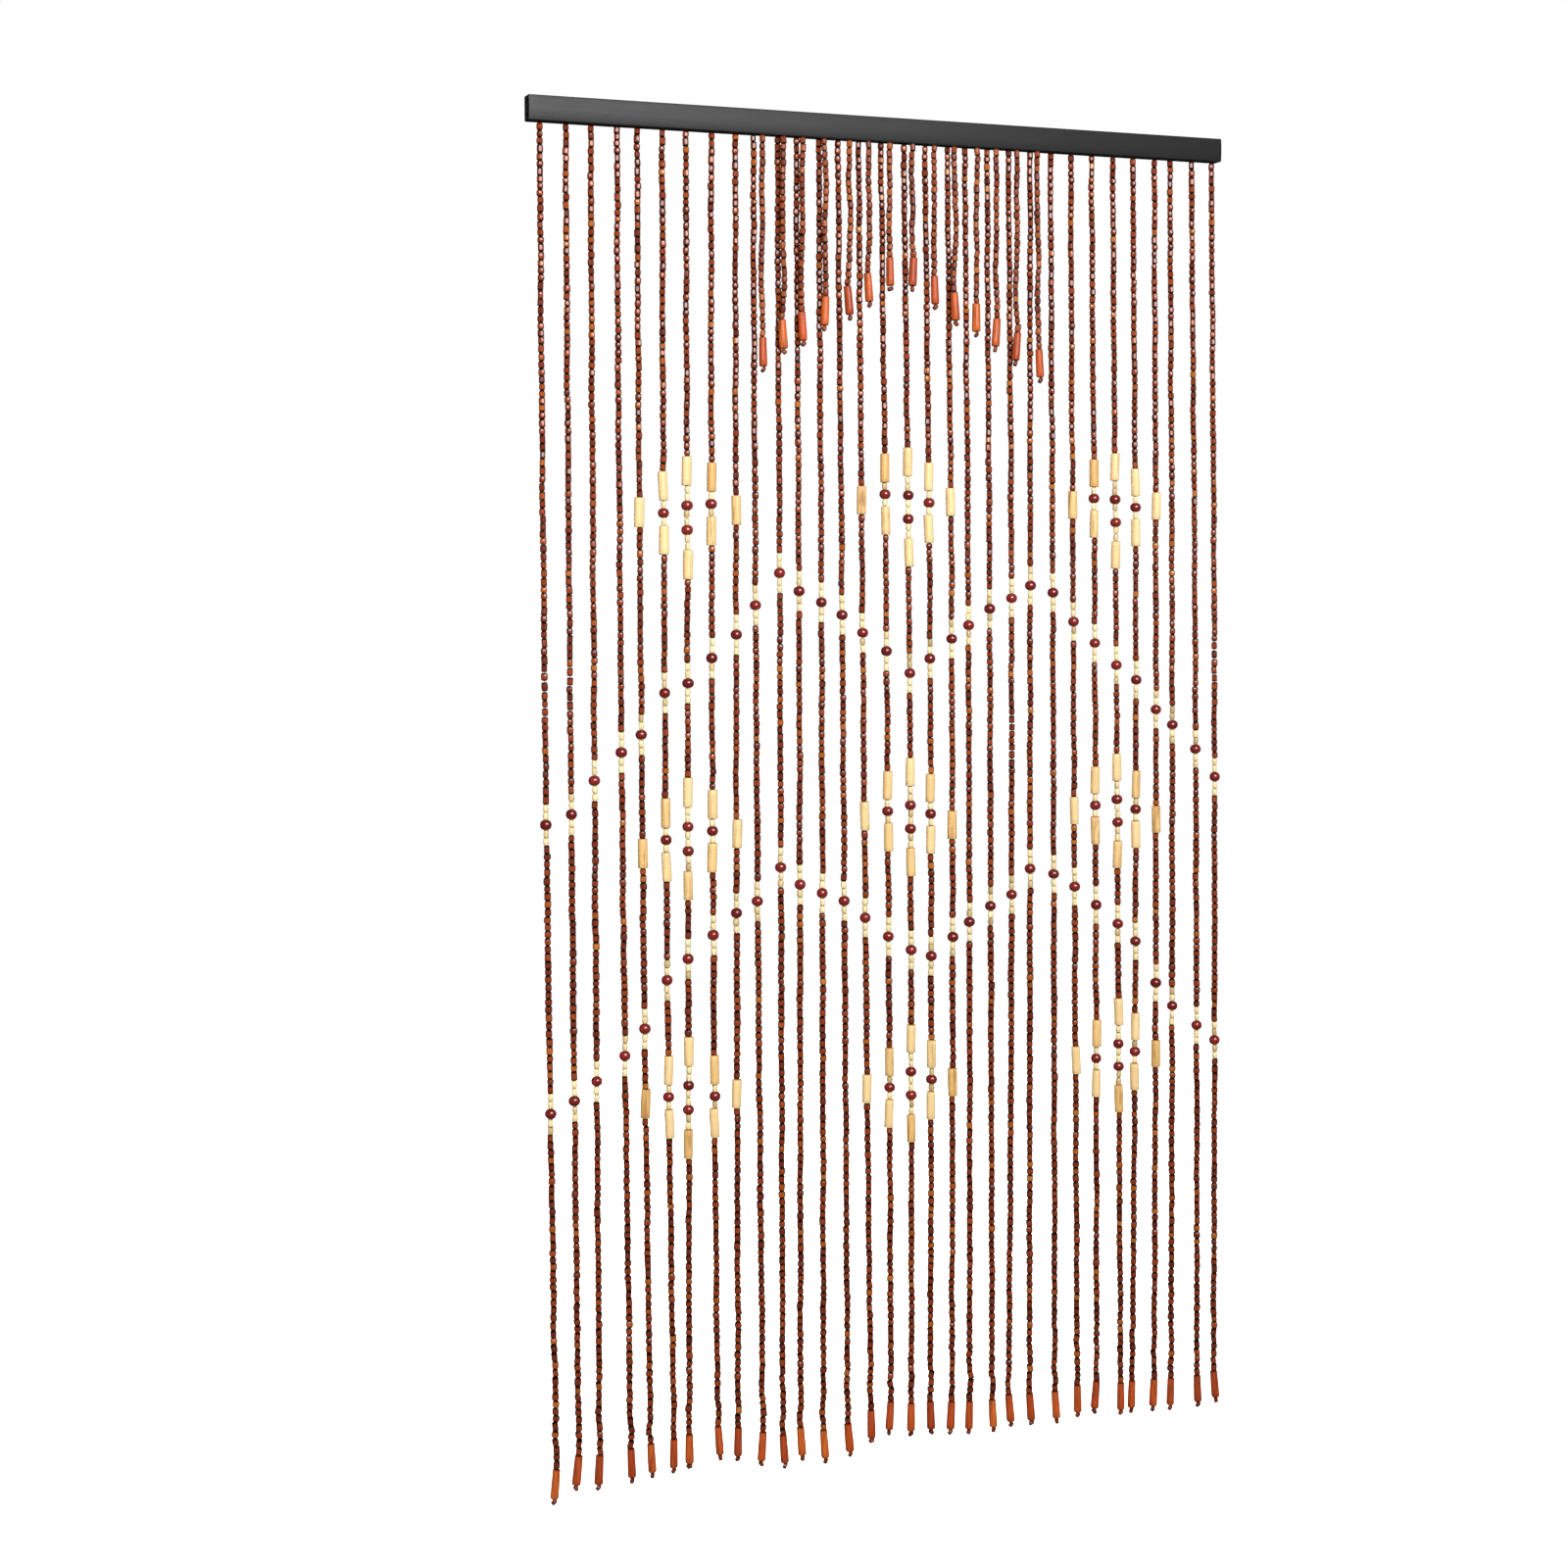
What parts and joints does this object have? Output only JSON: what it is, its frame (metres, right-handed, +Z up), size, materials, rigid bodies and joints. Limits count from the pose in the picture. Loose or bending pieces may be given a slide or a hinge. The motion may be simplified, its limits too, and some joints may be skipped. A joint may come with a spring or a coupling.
{
  "type": "bead curtain with rail",
  "caption": "Door curtain of wooden bead strings on a painted bar, with an arch of short strings, diamonds of pale tubes and waves of dark balls.",
  "frame": {"origin": "middle of the bar's back face, at half its length and half its height", "axes": "+X along the bar, +Y out of its back into the wall, +Z up; the strings hang towards -Z"},
  "size_m": [1.0015, 0.0215, 1.791],
  "materials": {
    "rail_paint": "matte dark grey paint",
    "brown_bead": "glossy varnish over red-brown stain",
    "short_brown_bead": "satin varnish over red-brown stain",
    "hanging_strip": "dark woven tape",
    "cream_bead": "satin clear varnish over pale wood",
    "dark_ball": "dark maroon gloss lacquer",
    "cream_tube": "satin clear varnish over pale grained wood",
    "end_tube": "orange-red stain with open grain",
    "cord": "twisted pale thread"
  },
  "bodies": {
    "root": {"rail": "rail_paint", "long_strands": "brown_bead", "short_strands": "short_brown_bead"}
  },
  "joints": []
}
